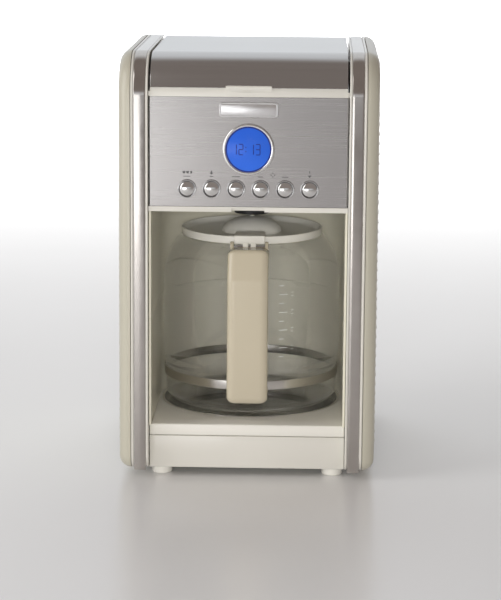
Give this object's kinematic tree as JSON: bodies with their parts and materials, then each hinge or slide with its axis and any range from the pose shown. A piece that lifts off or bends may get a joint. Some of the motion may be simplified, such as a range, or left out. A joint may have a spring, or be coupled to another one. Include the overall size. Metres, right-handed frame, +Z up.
{
  "type": "drip coffee maker",
  "caption": "Filter coffee maker with a round-shouldered casing, ribbed sides, hinged top cover, display and keys, and a glass carafe standing on a warming plate in its niche.",
  "frame": {"origin": "middle of the footprint, on the worktop plane under the feet", "axes": "+Z up, the front with the controls and the carafe faces -Y, +X to the right as seen from the front"},
  "size_m": [0.225, 0.262, 0.372],
  "materials": {
    "cream_plastic": "satin cream plastic",
    "brushed_steel": "brushed",
    "polished_metal": "polished",
    "black_enamel": "gloss black enamel",
    "carafe_glass": "clear",
    "display": "clear window over a blue display",
    "black_plastic": "matt",
    "clear_tank": "translucent",
    "filter_mesh": "fine woven mesh",
    "spring_steel": "bright wire and pins",
    "circuit_board": "green laminate",
    "heater_aluminium": "as drawn",
    "silicone": "matt",
    "foot_rubber": "matt"
  },
  "bodies": {
    "chassis": {"side_panel_left": "cream_plastic", "side_panel_right": "cream_plastic", "side_frame_left": "cream_plastic", "side_frame_right": "cream_plastic", "trim_strip_left": "brushed_steel", "trim_strip_right": "brushed_steel", "rear_cover": "cream_plastic", "cord_gland": "black_plastic", "base_shell": "cream_plastic", "base_deck": "cream_plastic", "bottom_cover": "cream_plastic", "foot_front_left": "foot_rubber", "foot_front_right": "foot_rubber", "foot_rear_left": "foot_rubber", "foot_rear_right": "foot_rubber", "warming_plate": "black_enamel", "plate_rim": "polished_metal", "heating_element": "heater_aluminium", "thermostat": "heater_aluminium", "niche_wall_lower": "cream_plastic", "niche_wall_upper": "cream_plastic", "water_tank": "clear_tank", "check_valve": "silicone", "cold_water_hose": "silicone", "hot_water_riser": "silicone", "head_housing": "cream_plastic", "control_panel": "brushed_steel", "badge": "polished_metal", "lcd_bezel": "polished_metal", "lcd_lens": "display", "circuit_board": "circuit_board", "button_ring_1": "polished_metal", "button_ring_2": "polished_metal", "button_ring_3": "polished_metal", "button_ring_4": "polished_metal", "button_ring_5": "polished_metal", "button_ring_6": "polished_metal", "hinge_pin_left": "spring_steel", "hinge_pin_right": "spring_steel"},
    "cover": {"top_cover": "brushed_steel", "lid_frame": "cream_plastic", "shower_plate": "black_plastic"},
    "basket": {"brew_basket": "black_plastic", "permanent_filter": "filter_mesh", "drip_stop_spring": "spring_steel"},
    "drip_stop": {"drip_stop_valve": "black_plastic"},
    "carafe": {"carafe_glass": "carafe_glass", "carafe_band": "brushed_steel", "carafe_handle": "cream_plastic", "lid_pin": "spring_steel"},
    "carafe_lid": {"carafe_lid": "cream_plastic"},
    "key_1": {"button_1": "polished_metal"},
    "key_2": {"button_2": "polished_metal"},
    "key_3": {"button_3": "polished_metal"},
    "key_4": {"button_4": "polished_metal"},
    "key_5": {"button_5": "polished_metal"},
    "key_6": {"button_6": "polished_metal"}
  },
  "joints": [
    {"name": "cover_hinge", "type": "hinge", "parent": "chassis", "child": "cover", "pos_m": [0, 0.11713, 0.3399], "axis": [-1, 0, 0], "range_deg": [0, 88]},
    {"name": "basket_lift", "type": "slide", "parent": "chassis", "child": "basket", "axis": [0, 0, 1], "range_m": [0, 0.012]},
    {"name": "drip_stop_drop", "type": "slide", "parent": "basket", "child": "drip_stop", "axis": [0, 0, -1], "range_m": [0, 0.003]},
    {"name": "carafe_slide", "type": "slide", "parent": "chassis", "child": "carafe", "axis": [0, -1, 0], "range_m": [0, 0.19]},
    {"name": "carafe_lid_hinge", "type": "hinge", "parent": "carafe", "child": "carafe_lid", "pos_m": [0, -0.0823, 0.1988], "axis": [1, 0, 0], "range_deg": [0, 2]},
    {"name": "key_press_1", "type": "slide", "parent": "chassis", "child": "key_1", "axis": [0, 1, 0], "range_m": [0, 0.001], "stiffness_N_per_m": 600},
    {"name": "key_press_2", "type": "slide", "parent": "chassis", "child": "key_2", "axis": [0, 1, 0], "range_m": [0, 0.001], "stiffness_N_per_m": 600},
    {"name": "key_press_3", "type": "slide", "parent": "chassis", "child": "key_3", "axis": [0, 1, 0], "range_m": [0, 0.001], "stiffness_N_per_m": 600},
    {"name": "key_press_4", "type": "slide", "parent": "chassis", "child": "key_4", "axis": [0, 1, 0], "range_m": [0, 0.001], "stiffness_N_per_m": 600},
    {"name": "key_press_5", "type": "slide", "parent": "chassis", "child": "key_5", "axis": [0, 1, 0], "range_m": [0, 0.001], "stiffness_N_per_m": 600},
    {"name": "key_press_6", "type": "slide", "parent": "chassis", "child": "key_6", "axis": [0, 1, 0], "range_m": [0, 0.001], "stiffness_N_per_m": 600}
  ],
  "couplings": [
    {"joint": "drip_stop_drop", "follows": "carafe_slide", "ratio": 0.0157}
  ]
}
